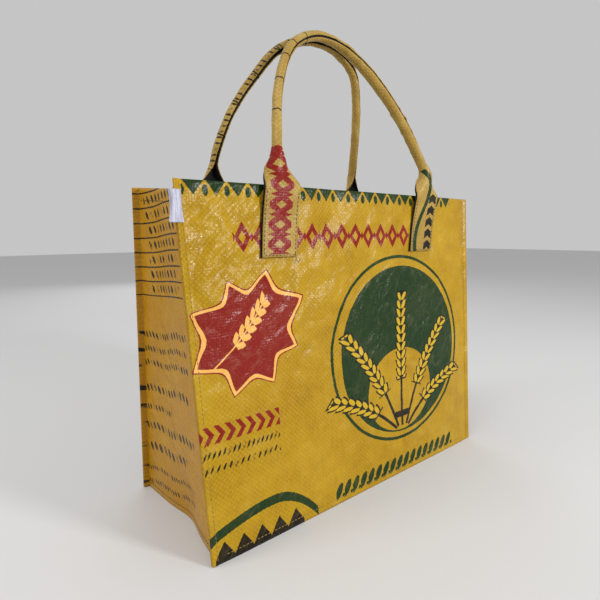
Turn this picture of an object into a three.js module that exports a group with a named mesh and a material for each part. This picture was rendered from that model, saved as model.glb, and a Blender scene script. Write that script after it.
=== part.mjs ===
// Shopping bag sewn from rice sack cloth: two panels, two side gussets, a base,
// two rolled handles of webbing faced with the same cloth, and a small folded label.
// Millimetres, +Z up, the front faces -Y, the origin is on the floor under the middle.

import * as THREE from 'three';

// Driving sizes of the bag
const bagHeight = 350;
const topHalfWidth = 221.8;
const bottomHalfWidth = 212.3;
const topFrontY = -60;
const topBackY = 39.6;
const bottomFrontY = -87.3;
const bottomBackY = 87.3;
const clothThickness = 1.2;
const sewnGap = 0.4;
const halfGap = sewnGap / 2;

// Seam allowances, sewn together and turned outward at the four upright seams
const allowance = 8;
const topAllowanceAngle = THREE.MathUtils.degToRad(22);
const bottomAllowanceAngle = THREE.MathUtils.degToRad(7);
const cornerLift = 1.2;
const topSeamPull = 9;
const bottomSeamPull = 16;
const panelColumns = 22;
const nearSeamShare = 0.965;
const gussetColumns = 10;
const heightLevels = [0, 8, 22, 42, 64, 88, 112, 136, 160, 184, 208, 232, 256, 280, 304, 328, 350];

// Base cloth: flat on the floor, rising to its seam near the edges
const baseSeamHeight = 7;
const baseRiseWidth = 26;
const baseRiseEase = 1.5;
const baseEdgeGap = 0.26;

// Gussets: drawn in between their seams, most of all low down and towards the front
const gussetDraw = 4.5;
const gussetFootDraw = 6;
const gussetFootPlace = 0.45;
const gussetFootHalfWidth = 0.18;
const gussetFootReach = 100;
const gussetRimDrop = 8;
const gussetRimDropStart = 230;
const foldFootHeight = 60;
const foldHeadStart = 290;
const foldHeadLoss = 0.6;

// Handle bands
const bandTabWidth = 42;
const bandGripWidth = 29;
const bandSegments = 9;
const handleClothThickness = 1;
const webbingThickness = 1;
const webbingOverhang = 0.022;
const tabFootHeight = 280;
const tabStandOff = 4.5;
const tabSewnHeight = 306;
const tabLevels = [tabFootHeight, 292, 304, 320, 336, bagHeight];
const tabGap = 0.44;
const flatTurn = 0.02;
const rollStep = 4.2;
const archStep = 20;
const tabStep = 16;
const tabHead = 14;
const rollTail = 20;
const layerGap = 0.7;

// Soft creases: a line from one end to the other, its half width and how far it stands out
const frontCreases = [
  { fromX: -204, fromZ: 222, toX: -156, toZ: 266, halfWidth: 14, proud: 1.7 },
  { fromX: -205, fromZ: 262, toX: -164, toZ: 300, halfWidth: 12, proud: 1.2 },
  { fromX: -60, fromZ: 40, toX: 40, toZ: 66, halfWidth: 18, proud: -1.4 },
  { fromX: 150, fromZ: 40, toX: 190, toZ: 130, halfWidth: 18, proud: 1.3 },
  { fromX: -40, fromZ: 235, toX: 50, toZ: 262, halfWidth: 16, proud: -1.1 },
];
const backCreases = [
  { fromX: -180, fromZ: 60, toX: -110, toZ: 130, halfWidth: 18, proud: 1.4 },
  { fromX: 20, fromZ: 190, toX: 120, toZ: 150, halfWidth: 18, proud: -1.3 },
  { fromX: 140, fromZ: 210, toX: 195, toZ: 290, halfWidth: 15, proud: 1.4 },
];

// Upright soft folds in the gussets: place from front 0 to back 1, half width there, and depth
const leftGussetFolds = [
  { place: 0.74, halfWidth: 0.1, depth: 2.2 },
  { place: 0.4, halfWidth: 0.16, depth: -1.2 },
];
const rightGussetFolds = [
  { place: 0.66, halfWidth: 0.12, depth: 1.8 },
  { place: 0.3, halfWidth: 0.14, depth: -1.2 },
];

// Routes of the handles: tabs, legs above the rim by height, top, where the rolled seam faces
// (degrees from +Y towards +X) and how thick the roll is along the handle
const frontHandle = {
  side: -1,
  tabFootLeftX: -117.5,
  tabRimLeftX: -111,
  tabFootRightX: 108,
  tabRimRightX: 121,
  slot: 2.2,
  seamDip: -0.2,
  rollStart: 351,
  rollEnd: 387,
  legs: [
    { z: 375, leftX: -116, rightX: 119.5, y: -65.5 },
    { z: 405, leftX: -109.6, rightX: 110, y: -55.5 },
    { z: 440, leftX: -99.5, rightX: 96.6, y: -43.5 },
    { z: 475, leftX: -83.1, rightX: 75, y: -31 },
    { z: 505, leftX: -60.5, rightX: 48, y: -19.6 },
    { z: 524.5, leftX: -28, rightX: 18, y: -10.6 },
  ],
  apex: { x: -5, y: -8, z: 529.2 },
  seamTurn: [
    { z: 368, left: 0, right: 0 },
    { z: 386, left: 50, right: 78 },
    { z: 405, left: 96, right: 124 },
    { z: 425, left: 118, right: 138 },
    { z: 455, left: 140, right: 140 },
  ],
  girth: [
    { place: 0, ratio: 0.96 },
    { place: 0.36, ratio: 0.94 },
    { place: 0.5, ratio: 1.08 },
    { place: 0.62, ratio: 1.32 },
    { place: 0.74, ratio: 1.28 },
    { place: 0.81, ratio: 1.1 },
    { place: 1, ratio: 1.14 },
  ],
};
const backHandle = {
  side: 1,
  tabFootLeftX: -130,
  tabRimLeftX: -129,
  tabFootRightX: 94,
  tabRimRightX: 92,
  slot: 3,
  seamDip: -0.2,
  rollStart: 349,
  rollEnd: 382,
  legs: [
    { z: 375, leftX: -128.5, rightX: 91.5, y: 43.5 },
    { z: 405, leftX: -123.5, rightX: 88.5, y: 35.8 },
    { z: 440, leftX: -110.4, rightX: 83.5, y: 27.4 },
    { z: 475, leftX: -88.2, rightX: 75.5, y: 18.6 },
    { z: 506, leftX: -62.5, rightX: 60, y: 10.2 },
    { z: 523, leftX: -31, rightX: 28, y: 5 },
  ],
  apex: { x: -5, y: 3.6, z: 527.5 },
  seamTurn: [
    { z: 354, left: 180, right: 180 },
    { z: 370, left: 178, right: 165 },
    { z: 386, left: 166, right: 150 },
    { z: 405, left: 154, right: 140 },
    { z: 455, left: 148, right: 138 },
  ],
  girth: [
    { place: 0, ratio: 0.8 },
    { place: 0.3, ratio: 0.8 },
    { place: 0.44, ratio: 0.9 },
    { place: 0.6, ratio: 0.98 },
    { place: 0.72, ratio: 1.02 },
    { place: 1, ratio: 0.94 },
  ],
};

// Label folded over the edge of the front left seam, from its foot to its head
const labelThickness = 1;
const labelLevels = [
  { z: 313, cover: 6.5, reach: 7.2, bulge: 3.2 },
  { z: 320, cover: 6, reach: 5.6, bulge: 2.6 },
  { z: 328, cover: 5.6, reach: 4.6, bulge: 2.3 },
  { z: 335, cover: 5.8, reach: 4.8, bulge: 2.4 },
  { z: 341, cover: 6, reach: 5.2, bulge: 2.5 },
];

const { clamp, lerp, smoothstep } = THREE.MathUtils;

// Places across a panel from seam -1 to seam 1, with one more close to each seam
const panelShares = [-1, -nearSeamShare];
for (let c = 1; c < panelColumns; c += 1) panelShares.push(lerp(-1, 1, c / panelColumns));
panelShares.push(nearSeamShare, 1);

// A column of a table at a place between its rows
function readTable(rows, key, place, column) {
  if (place <= rows[0][key]) return rows[0][column];
  for (let i = 1; i < rows.length; i += 1) {
    const low = rows[i - 1];
    const high = rows[i];
    if (place <= high[key]) {
      return lerp(low[column], high[column], (place - low[key]) / (high[key] - low[key]));
    }
  }
  return rows[rows.length - 1][column];
}

// Vectors to one side of a flat line, long enough at its corners to keep a sheet's thickness
function sideVectors(line, side) {
  return line.map((point, i) => {
    const before = i > 0 ? point.clone().sub(line[i - 1]).normalize() : null;
    const after = i < line.length - 1 ? line[i + 1].clone().sub(point).normalize() : null;
    const along = (before || after).clone().add(after || before).normalize();
    const straight = before || after;
    const stretch = 1 / Math.max(0.5, along.dot(straight));
    return new THREE.Vector2(-along.y, along.x).multiplyScalar(side * stretch);
  });
}

// A closed sheet between two offsets of a grid of points, each with its side vector
function sheetSolid(rows, nearOffset, farOffset) {
  const rowCount = rows.length;
  const columnCount = rows[0].length;
  const positions = [];
  for (const offset of [nearOffset, farOffset]) {
    for (const row of rows) {
      for (const { point, side } of row) {
        const moved = point.clone().addScaledVector(side, offset);
        positions.push(moved.x, moved.y, moved.z);
      }
    }
  }
  const index = [];
  const layer = rowCount * columnCount;
  const at = (face, r, c) => face * layer + r * columnCount + c;
  const quad = (a, b, c, d) => index.push(a, b, c, a, c, d);
  for (let r = 0; r < rowCount - 1; r += 1) {
    for (let c = 0; c < columnCount - 1; c += 1) {
      quad(at(0, r, c), at(0, r, c + 1), at(0, r + 1, c + 1), at(0, r + 1, c));
      quad(at(1, r, c), at(1, r + 1, c), at(1, r + 1, c + 1), at(1, r, c + 1));
    }
  }
  const edge = [];
  for (let c = 0; c < columnCount; c += 1) edge.push([0, c]);
  for (let r = 1; r < rowCount; r += 1) edge.push([r, columnCount - 1]);
  for (let c = columnCount - 2; c >= 0; c -= 1) edge.push([rowCount - 1, c]);
  for (let r = rowCount - 2; r >= 0; r -= 1) edge.push([r, 0]);
  for (let i = 0; i < edge.length - 1; i += 1) {
    const [r0, c0] = edge[i];
    const [r1, c1] = edge[i + 1];
    quad(at(0, r1, c1), at(0, r0, c0), at(1, r0, c0), at(1, r1, c1));
  }
  if (signedVolume(positions, index) < 0) index.reverse();
  const geometry = new THREE.BufferGeometry();
  geometry.setAttribute('position', new THREE.Float32BufferAttribute(positions, 3));
  geometry.setIndex(index);
  return geometry;
}

function signedVolume(positions, index) {
  const corner = (i) => new THREE.Vector3().fromArray(positions, 3 * index[i]);
  let sum = 0;
  for (let i = 0; i < index.length; i += 3) {
    sum += corner(i).dot(corner(i + 1).cross(corner(i + 2)));
  }
  return sum / 6;
}

// The upright seams: where the allowances end, and where the two cloths meet, at a height
function seamAt(z) {
  const h = z / bagHeight;
  const angle = lerp(bottomAllowanceAngle, topAllowanceAngle, h);
  const out = allowance * Math.cos(angle);
  const proud = allowance * Math.sin(angle);
  const tipX = lerp(bottomHalfWidth, topHalfWidth, h);
  const frontTipY = lerp(bottomFrontY, topFrontY, h);
  const backTipY = lerp(bottomBackY, topBackY, h);
  return {
    tipX,
    frontTipY,
    backTipY,
    x: tipX - out,
    frontY: frontTipY + proud,
    backY: backTipY - proud,
  };
}

// How far soft creases lift a panel at a place
function creaseRelief(creases, x, z) {
  let sum = 0;
  for (const crease of creases) {
    const run = new THREE.Vector2(crease.toX - crease.fromX, crease.toZ - crease.fromZ);
    const here = new THREE.Vector2(x - crease.fromX, z - crease.fromZ);
    const along = here.dot(run) / run.lengthSq();
    const across = Math.abs(here.cross(run)) / run.length();
    const fade = smoothstep(along, -0.15, 0.25) * (1 - smoothstep(along, 0.75, 1.15));
    sum += crease.proud * fade * Math.exp(-((across / crease.halfWidth) ** 2));
  }
  return sum;
}

// Depth of a panel's seam line surface at a place, for the front (-1) or the back (1)
function panelY(side, x, z) {
  const seam = seamAt(z);
  const middle = side < 0 ? seam.frontTipY : seam.backTipY;
  const edge = side < 0 ? seam.frontY : seam.backY;
  const reach = Math.min(1, Math.abs(x) / seam.x);
  const calm = 1 - reach ** 8;
  const relief = creaseRelief(side < 0 ? frontCreases : backCreases, x, z) * calm;
  const pull = lerp(bottomSeamPull, topSeamPull, z / bagHeight);
  return lerp(middle, edge, reach ** pull) + side * relief;
}

// Outward face of a panel at a place
function panelFaceY(side, x, z) {
  return panelY(side, x, z) + side * (halfGap + clothThickness);
}

// Height of a point of a wall's row: the lower corners of the allowances are cut round
function liftTips(line, i, z) {
  const isTip = i === 0 || i === line.length - 1;
  return isTip ? Math.max(z, cornerLift) : z;
}

function panelRows(side) {
  return heightLevels.map((z) => {
    const seam = seamAt(z);
    const tipY = side < 0 ? seam.frontTipY : seam.backTipY;
    const line = [new THREE.Vector2(-seam.tipX, tipY)];
    for (const share of panelShares) {
      const x = seam.x * share;
      line.push(new THREE.Vector2(x, panelY(side, x, z)));
    }
    line.push(new THREE.Vector2(seam.tipX, tipY));
    const vectors = sideVectors(line, side);
    return line.map((point, i) => ({
      point: new THREE.Vector3(point.x, point.y, liftTips(line, i, z)),
      side: new THREE.Vector3(vectors[i].x, vectors[i].y, 0),
    }));
  });
}

// How far a gusset is drawn in between its seams
function gussetInset(folds, place, z) {
  const between = Math.sin(Math.PI * place);
  const foot = 1 - smoothstep(z, 0, gussetFootReach);
  const nearFootPlace = Math.exp(-(((place - gussetFootPlace) / gussetFootHalfWidth) ** 2));
  let inset = gussetDraw * between + gussetFootDraw * foot * nearFootPlace * between;
  const head = smoothstep(z, foldHeadStart, bagHeight);
  const height = smoothstep(z, 0, foldFootHeight) * (1 - foldHeadLoss * head);
  for (const fold of folds) {
    inset += fold.depth * height * between * Math.exp(-(((place - fold.place) / fold.halfWidth) ** 2));
  }
  return inset;
}

function gussetPoint(side, folds, place, level) {
  const drop = gussetRimDrop * (1 - place) * smoothstep(level, gussetRimDropStart, bagHeight);
  const z = level - drop;
  const seam = seamAt(z);
  const x = seam.x - gussetInset(folds, place, z);
  return new THREE.Vector3(side * x, lerp(seam.frontY, seam.backY, place), z);
}

function gussetRows(side, folds) {
  return heightLevels.map((level) => {
    const frontEdge = gussetPoint(side, folds, 0, level);
    const backEdge = gussetPoint(side, folds, 1, level);
    const frontSeam = seamAt(frontEdge.z);
    const backSeam = seamAt(backEdge.z);
    const points = [new THREE.Vector3(side * frontSeam.tipX, frontSeam.frontTipY, frontEdge.z)];
    for (let c = 0; c <= gussetColumns; c += 1) {
      points.push(gussetPoint(side, folds, c / gussetColumns, level));
    }
    points.push(new THREE.Vector3(side * backSeam.tipX, backSeam.backTipY, backEdge.z));
    const line = points.map((point) => new THREE.Vector2(point.x, point.y));
    const vectors = sideVectors(line, -side);
    return points.map((point, i) => ({
      point: point.clone().setZ(liftTips(points, i, point.z)),
      side: new THREE.Vector3(vectors[i].x, vectors[i].y, 0),
    }));
  });
}

// The base follows the seam lines of the four walls just above its own seam
function baseRows() {
  const z = baseSeamHeight + clothThickness;
  const seam = seamAt(z);
  const up = new THREE.Vector3(0, 0, 1);
  const rows = [];
  for (let r = 0; r <= gussetColumns; r += 1) {
    const place = r / gussetColumns;
    const leftX = -(seam.x - gussetInset(leftGussetFolds, place, z)) + baseEdgeGap;
    const rightX = seam.x - gussetInset(rightGussetFolds, place, z) - baseEdgeGap;
    const row = [];
    for (const share of panelShares) {
      const x = lerp(leftX, rightX, (share + 1) / 2);
      const wallX = seam.x * share;
      const frontY = panelY(-1, wallX, z) + baseEdgeGap;
      const backY = panelY(1, wallX, z) - baseEdgeGap;
      const y = lerp(frontY, backY, place);
      const inFromEdge = Math.min(x - leftX, rightX - x, y - frontY, backY - y);
      const rise = 1 - smoothstep(inFromEdge, 0, baseRiseWidth);
      row.push({ point: new THREE.Vector3(x, y, baseSeamHeight * rise ** baseRiseEase), side: up });
    }
    rows.push(row);
  }
  return rows;
}

// The middle line of a handle, from its left tab over the top to its right tab
function handleRoute(handle) {
  const { side } = handle;
  const faceToMiddle = tabGap + webbingThickness + layerGap + handleClothThickness / 2;
  const tabPoint = (x, z) => {
    const lift = tabStandOff * smoothstep(z, tabSewnHeight, bagHeight + 10);
    const y = panelFaceY(side, x, Math.min(z, bagHeight)) + side * (faceToMiddle + lift);
    return new THREE.Vector3(x, y, z);
  };
  const tab = (footX, rimX) =>
    tabLevels.map((z) => {
      const share = (z - tabFootHeight) / (bagHeight - tabFootHeight);
      return tabPoint(lerp(footX, rimX, share), z);
    });
  const leg = (key) => handle.legs.map((row) => new THREE.Vector3(row[key], row.y, row.z));
  const { apex } = handle;
  return new THREE.CatmullRomCurve3(
    [
      ...tab(handle.tabFootLeftX, handle.tabRimLeftX),
      ...leg('leftX'),
      new THREE.Vector3(apex.x, apex.y, apex.z),
      ...leg('rightX').reverse(),
      ...tab(handle.tabFootRightX, handle.tabRimRightX).reverse(),
    ],
    false,
    'centripetal',
  );
}

// Places along a handle's route: close together where the band rolls up, wider elsewhere
function handlePlaces(handle, route) {
  const length = route.getLength();
  const places = [0];
  let run = 0;
  while (run < length) {
    const { z } = route.getPointAt(run / length);
    if (z < bagHeight - tabHead) run += tabStep;
    else run += z < handle.rollEnd + rollTail ? rollStep : archStep;
    if (run < length - 4) places.push(run / length);
  }
  places.push(1);
  return places;
}

// Section of a band that goes from flat to rolled, around its own middle
function bandSection(width, turn, overhang) {
  const radius = width / turn;
  const lift = (radius * Math.sin(turn / 2)) / (turn / 2);
  const line = [];
  for (let i = 0; i <= bandSegments; i += 1) {
    let share = i / bandSegments - 0.5;
    if (i === 0) share -= overhang;
    if (i === bandSegments) share += overhang;
    const angle = share * turn;
    line.push(new THREE.Vector2(radius * Math.sin(angle), lift - radius * Math.cos(angle)));
  }
  return line;
}

// Rows of one layer of a handle
function handleRows(handle, overhang) {
  const route = handleRoute(handle);
  const fullTurn = (2 * Math.PI * bandGripWidth) / (bandGripWidth + handle.slot);
  return handlePlaces(handle, route).map((place) => {
    const point = route.getPointAt(place);
    const tangent = route.getTangentAt(place);
    const upright = new THREE.Vector3(0, 0, place < 0.5 ? 1 : -1);
    tangent.lerp(upright, 1 - smoothstep(point.z, bagHeight, handle.rollEnd)).normalize();
    const roll = clamp((point.z - handle.rollStart) / (handle.rollEnd - handle.rollStart), 0, 1);
    const turn = Math.max(flatTurn, fullTurn * roll);
    const girth = readTable(handle.girth, 'place', place, 'ratio');
    const width = lerp(bandTabWidth, bandGripWidth * girth, roll);
    const leg = place < 0.5 ? 'left' : 'right';
    const seamTurn = THREE.MathUtils.degToRad(readTable(handle.seamTurn, 'z', point.z, leg));
    const toSeam = new THREE.Vector3(Math.sin(seamTurn), Math.cos(seamTurn), handle.seamDip * roll);
    toSeam.addScaledVector(tangent, -toSeam.dot(tangent)).normalize();
    const across = new THREE.Vector3().crossVectors(tangent, toSeam);
    const line = bandSection(width, turn, overhang);
    const vectors = sideVectors(line, 1);
    return line.map((flat, i) => ({
      point: point.clone().addScaledVector(across, flat.x).addScaledVector(toSeam, flat.y),
      side: across.clone().multiplyScalar(vectors[i].x).addScaledVector(toSeam, vectors[i].y),
    }));
  });
}

// The label wraps the seam's edge: over the front allowance, round its tip and back
function labelRows() {
  const clearance = halfGap + clothThickness + sewnGap + labelThickness / 2;
  return labelLevels.map(({ z, cover, reach, bulge }) => {
    const seam = seamAt(z);
    const tip = new THREE.Vector2(-seam.tipX, seam.frontTipY);
    const out = tip.clone().sub(new THREE.Vector2(-seam.x, seam.frontY)).normalize();
    const forward = new THREE.Vector2(-out.y, out.x);
    const local = [
      new THREE.Vector2(-cover, clearance),
      new THREE.Vector2(0, clearance),
      new THREE.Vector2(reach * 0.6, bulge),
      new THREE.Vector2(reach, bulge * 0.45),
      new THREE.Vector2(reach, -bulge * 0.45),
      new THREE.Vector2(reach * 0.6, -bulge),
      new THREE.Vector2(0, -clearance),
      new THREE.Vector2(-cover * 0.85, -clearance),
    ];
    const line = local.map((flat) =>
      tip.clone().addScaledVector(out, flat.x).addScaledVector(forward, flat.y),
    );
    const vectors = sideVectors(line, 1);
    return line.map((flat, i) => ({
      point: new THREE.Vector3(flat.x, flat.y, z),
      side: new THREE.Vector3(vectors[i].x, vectors[i].y, 0),
    }));
  });
}

// Materials
const sackCloth = new THREE.MeshStandardMaterial({ color: 0xc49a2c, roughness: 0.42, metalness: 0 });
const gussetCloth = new THREE.MeshStandardMaterial({ color: 0xb98428, roughness: 0.45, metalness: 0 });
const blackWebbing = new THREE.MeshStandardMaterial({ color: 0x15130f, roughness: 0.75, metalness: 0 });
const whiteTape = new THREE.MeshStandardMaterial({ color: 0xe4e2ee, roughness: 0.4, metalness: 0 });

function piece(name, geometry, material) {
  const mesh = new THREE.Mesh(geometry, material);
  mesh.name = name;
  return mesh;
}

const bag = new THREE.Group();

const wallNear = halfGap;
const wallFar = halfGap + clothThickness;
bag.add(piece('panel_front', sheetSolid(panelRows(-1), wallNear, wallFar), sackCloth));
bag.add(piece('panel_back', sheetSolid(panelRows(1), wallNear, wallFar), sackCloth));
for (const [name, side, folds] of [
  ['gusset_left', -1, leftGussetFolds],
  ['gusset_right', 1, rightGussetFolds],
]) {
  const rows = gussetRows(side, folds);
  bag.add(piece(name, sheetSolid(rows, wallNear, wallFar), gussetCloth));
}
bag.add(piece('base_panel', sheetSolid(baseRows(), 0, clothThickness), sackCloth));

const clothHalf = handleClothThickness / 2;
const webbingNear = clothHalf + layerGap;
const webbingFar = webbingNear + webbingThickness;
for (const [name, handle] of [['handle_front', frontHandle], ['handle_back', backHandle]]) {
  const clothRows = handleRows(handle, 0);
  const webbingRows = handleRows(handle, webbingOverhang);
  bag.add(piece(`${name}_cloth`, sheetSolid(clothRows, -clothHalf, clothHalf), sackCloth));
  bag.add(piece(`${name}_webbing`, sheetSolid(webbingRows, webbingNear, webbingFar), blackWebbing));
}

const labelHalf = labelThickness / 2;
bag.add(piece('side_label', sheetSolid(labelRows(), -labelHalf, labelHalf), whiteTape));

export default bag;
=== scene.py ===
# Shopping bag sewn from a rice sack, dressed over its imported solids.
# Shapes are worked out in millimetres, +Z up, the printed front faces -Y, and put into meshes in metres.
import math

import bpy
import numpy as np
from mathutils import Matrix, Vector


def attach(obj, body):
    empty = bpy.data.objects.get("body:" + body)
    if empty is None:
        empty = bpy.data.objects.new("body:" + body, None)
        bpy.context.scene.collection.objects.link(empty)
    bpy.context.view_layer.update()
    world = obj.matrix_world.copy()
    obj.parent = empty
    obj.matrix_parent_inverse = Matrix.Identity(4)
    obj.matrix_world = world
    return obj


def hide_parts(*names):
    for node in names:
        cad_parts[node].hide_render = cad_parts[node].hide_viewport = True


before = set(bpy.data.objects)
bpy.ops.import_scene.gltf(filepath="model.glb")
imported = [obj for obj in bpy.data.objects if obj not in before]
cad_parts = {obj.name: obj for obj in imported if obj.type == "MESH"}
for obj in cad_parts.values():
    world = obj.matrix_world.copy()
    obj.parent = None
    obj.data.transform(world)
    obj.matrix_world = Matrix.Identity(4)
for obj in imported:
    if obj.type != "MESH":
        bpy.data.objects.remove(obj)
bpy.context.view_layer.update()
print("frame loaded,", len(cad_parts), "solids")

mm = 0.001

# The body that all the cloths share. A side is -1 at the front or left, 1 at the back or right.
bag = {
    "height": 350.0,
    "topHalfWidth": 221.8,
    "bottomHalfWidth": 212.3,
    "topFrontY": -60.0,
    "topBackY": 39.6,
    "bottomFrontY": -87.3,
    "bottomBackY": 87.3,
    "seamGap": 0.2,  # from the seam line to a cloth's inner face
    "clothThickness": 1.1,
    "solidThickness": 1.2,  # of the solids' cloth, which handles and label keep clear of
    "allowance": 8.0,
    "allowanceColumns": 5,
    "topAllowanceAngle": 22.0,
    "bottomAllowanceAngle": 7.0,
    "cornerLift": 1.2,
    "topSeamPull": 9.0,
    "bottomSeamPull": 16.0,
    "baseSeamHeight": 7.0,
    "crumpleStart": (4, 45),  # heights over which the crumples set in
}

# Where the middles of the tabs end on each panel
tabFeet = {-1: (-117.5, 108.0), 1: (-130.0, 94.0)}


def mix(a, b, t):
    return a + (b - a) * t


def ease(x, low, high):
    t = np.clip((x - low) / (high - low), 0, 1)
    return t * t * (3 - 2 * t)


def unit(vectors):
    return vectors / np.linalg.norm(vectors, axis=-1, keepdims=True)


def distances(points):
    # how far each point of a line is from its start, along the line
    steps = np.linalg.norm(np.diff(points, axis=0), axis=1)
    return np.concatenate([[0], np.cumsum(steps)])


def pointsAlong(places, distance, points):
    # points of a line at some distances from its start
    return np.stack([np.interp(places, distance, points[:, k]) for k in range(points.shape[1])], axis=-1)


def readTable(rows, place, column):
    return np.interp(place, [row[0] for row in rows], [row[column] for row in rows])


def cellsAt(u, v, size, shift):
    # places counted in cells of a size, and the numbers of the cells they fall in
    x, y = u / size + shift[0], v / size + shift[1]
    return x, y, np.floor(x).astype(int), np.floor(y).astype(int)


def softNoise(u, v, size, seed):
    # smooth random hills about -1 to 1, one every size millimetres
    count = 61
    hills = np.random.default_rng(seed).uniform(-1, 1, (count, count))
    x, y, i, j = cellsAt(u, v, size, (23.7, 11.3))
    fx, fy = ease(x - i, 0, 1), ease(y - j, 0, 1)
    low = mix(hills[i % count, j % count], hills[(i + 1) % count, j % count], fx)
    high = mix(hills[i % count, (j + 1) % count], hills[(i + 1) % count, (j + 1) % count], fx)
    return mix(low, high, fy)


def dents(u, v, size, seed):
    # shallow bowls side by side that meet in crisp lines, as in crumpled film
    count = 53
    shifts = np.random.default_rng(seed).uniform(0.1, 0.9, (2, count, count))
    x, y, i, j = cellsAt(u, v, size, (17.0, 29.0))
    nearest = np.full(np.broadcast(u, v).shape, 9.0)
    for di in (-1, 0, 1):
        for dj in (-1, 0, 1):
            a, b = (i + di) % count, (j + dj) % count
            away = (i + di + shifts[0, a, b] - x) ** 2 + (j + dj + shifts[1, a, b] - y) ** 2
            nearest = np.minimum(nearest, away)
    return nearest


def crumple(u, v, settings, seed):
    # long soft waves, and crisp dents both ways that come and go
    waves = softNoise(u, v, settings["waveSize"], seed)
    size = settings["crumpleSize"]
    along, across = (u * 0.75 + v * 0.66) * 0.5, v * 0.75 - u * 0.66
    large = dents(along, across, size, seed + 1) - dents(along * 1.3, across, size * 1.2, seed + 2)
    small = dents(along * 1.2, across, size * 0.42, seed + 3) - dents(u, v, size * 0.36, seed + 4)
    where = 0.55 + 0.45 * softNoise(u, v, 2.6 * size, seed + 5)
    fine = 0.5 + 0.5 * softNoise(u, v, 1.7 * size, seed + 6)
    crumples = where * large + 0.55 * fine * small
    return settings["waveHeight"] * waves + settings["crumpleHeight"] * crumples


def creaseRelief(creases, u, v):
    total = np.zeros(np.broadcast(u, v).shape)
    for start, end, halfWidth, height in creases:
        run = np.array(end, float) - np.array(start, float)
        length = np.linalg.norm(run)
        du, dv = u - start[0], v - start[1]
        along = (du * run[0] + dv * run[1]) / length**2
        across = (du * run[1] - dv * run[0]) / length
        fade = ease(along, -0.15, 0.25) * (1 - ease(along, 0.75, 1.15))
        total += height * fade * np.exp(-((across / halfWidth) ** 2))
    return total


def seamAt(z):
    # the upright seams at a height: where the allowances end and where the cloths meet
    h = z / bag["height"]
    angle = np.radians(mix(bag["bottomAllowanceAngle"], bag["topAllowanceAngle"], h))
    out, proud = bag["allowance"] * np.cos(angle), bag["allowance"] * np.sin(angle)
    tipX = mix(bag["bottomHalfWidth"], bag["topHalfWidth"], h)
    frontTipY = mix(bag["bottomFrontY"], bag["topFrontY"], h)
    backTipY = mix(bag["bottomBackY"], bag["topBackY"], h)
    return {
        "tipX": tipX,
        "x": tipX - out,
        "frontTipY": frontTipY,
        "backTipY": backTipY,
        "frontY": frontTipY + proud,
        "backY": backTipY - proud,
    }


def panelY(side, x, z, relief=0.0):
    seam = seamAt(z)
    middle = seam["frontTipY"] if side < 0 else seam["backTipY"]
    edge = seam["frontY"] if side < 0 else seam["backY"]
    reach = np.minimum(1, np.abs(x) / seam["x"])
    calm = 1 - reach**8
    pull = mix(bag["bottomSeamPull"], bag["topSeamPull"], z / bag["height"])
    return mix(middle, edge, reach**pull) + side * relief * calm


def sideVectors(x, y, side):
    # sideways vectors of the rows of a grid, longer at corners so that a sheet keeps its thickness
    along = unit(np.stack([np.diff(x, axis=1), np.diff(y, axis=1)], axis=2))
    before = np.concatenate([along[:, :1], along], axis=1)
    after = np.concatenate([along, along[:, -1:]], axis=1)
    middle = unit(before + after)
    stretch = 1 / np.maximum(0.5, (middle * before).sum(axis=2))
    return np.stack([-middle[..., 1] * stretch, middle[..., 0] * stretch, 0 * stretch], axis=2) * side


def addPiece(name, points, faces, materials):
    mesh = bpy.data.meshes.new(name)
    mesh.from_pydata(points, [], faces)
    mesh.polygons.foreach_set("use_smooth", np.ones(len(faces), bool))
    for material in materials:
        mesh.materials.append(material)
    mesh.update()
    piece = bpy.data.objects.new(name, mesh)
    bpy.context.scene.collection.objects.link(piece)
    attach(piece, "root")
    return piece


def clothMesh(name, middle, sides, near, far, uv, materials):
    # a closed sheet between two offsets of a grid of points; the near face takes the second material
    rows, columns = middle.shape[:2]
    layers = np.stack([middle + sides * near, middle + sides * far])
    points = layers.reshape(-1, 3) * mm
    layer = rows * columns
    index = np.arange(layer).reshape(rows, columns)
    a, b, c, d = index[:-1, :-1], index[:-1, 1:], index[1:, 1:], index[1:, :-1]
    nearFaces = np.stack([a, b, c, d], axis=2).reshape(-1, 4)
    farFaces = np.stack([a, d, c, b], axis=2).reshape(-1, 4) + layer
    edge = np.concatenate([index[0, :-1], index[:-1, -1], index[-1, :0:-1], index[::-1, 0][:-1]])
    following = np.roll(edge, -1)
    rimFaces = np.stack([following, edge, edge + layer, following + layer], axis=1)
    faces = np.concatenate([nearFaces, farFaces, rimFaces])
    corners = points[faces]
    volume = (corners[:, 0] * np.cross(corners[:, 1], corners[:, 2])).sum()
    volume += (corners[:, 0] * np.cross(corners[:, 2], corners[:, 3])).sum()
    if volume < 0:
        faces = faces[:, ::-1]
    piece = addPiece(name, points.tolist(), faces.tolist(), materials)
    flatUv = np.concatenate([uv.reshape(-1, 2)] * 2) * mm
    uvLayer = piece.data.uv_layers.new(name="cut")
    uvLayer.data.foreach_set("uv", flatUv[faces.ravel()].ravel())
    slots = np.ones(len(faces), int)
    slots[len(nearFaces):] = 0
    piece.data.polygons.foreach_set("material_index", slots)
    piece.data.update()
    return piece


def outerFace(grid, sides, offset):
    return grid + sides * offset, unit(sides)


def runAlong(grid, sides, offset, rows, columns):
    # a polyline over a grid, through places given as row and column numbers
    face, normal = outerFace(grid, sides, offset)
    rows, columns = np.broadcast_arrays(np.asarray(rows, float), np.asarray(columns, float))
    i = np.minimum(np.floor(rows).astype(int), grid.shape[0] - 2)
    j = np.minimum(np.floor(columns).astype(int), grid.shape[1] - 2)
    fr, fc = (rows - i)[:, None], (columns - j)[:, None]

    def read(values):
        low = mix(values[i, j], values[i, j + 1], fc)
        high = mix(values[i + 1, j], values[i + 1, j + 1], fc)
        return mix(low, high, fr)

    return read(face), read(normal)


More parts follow.
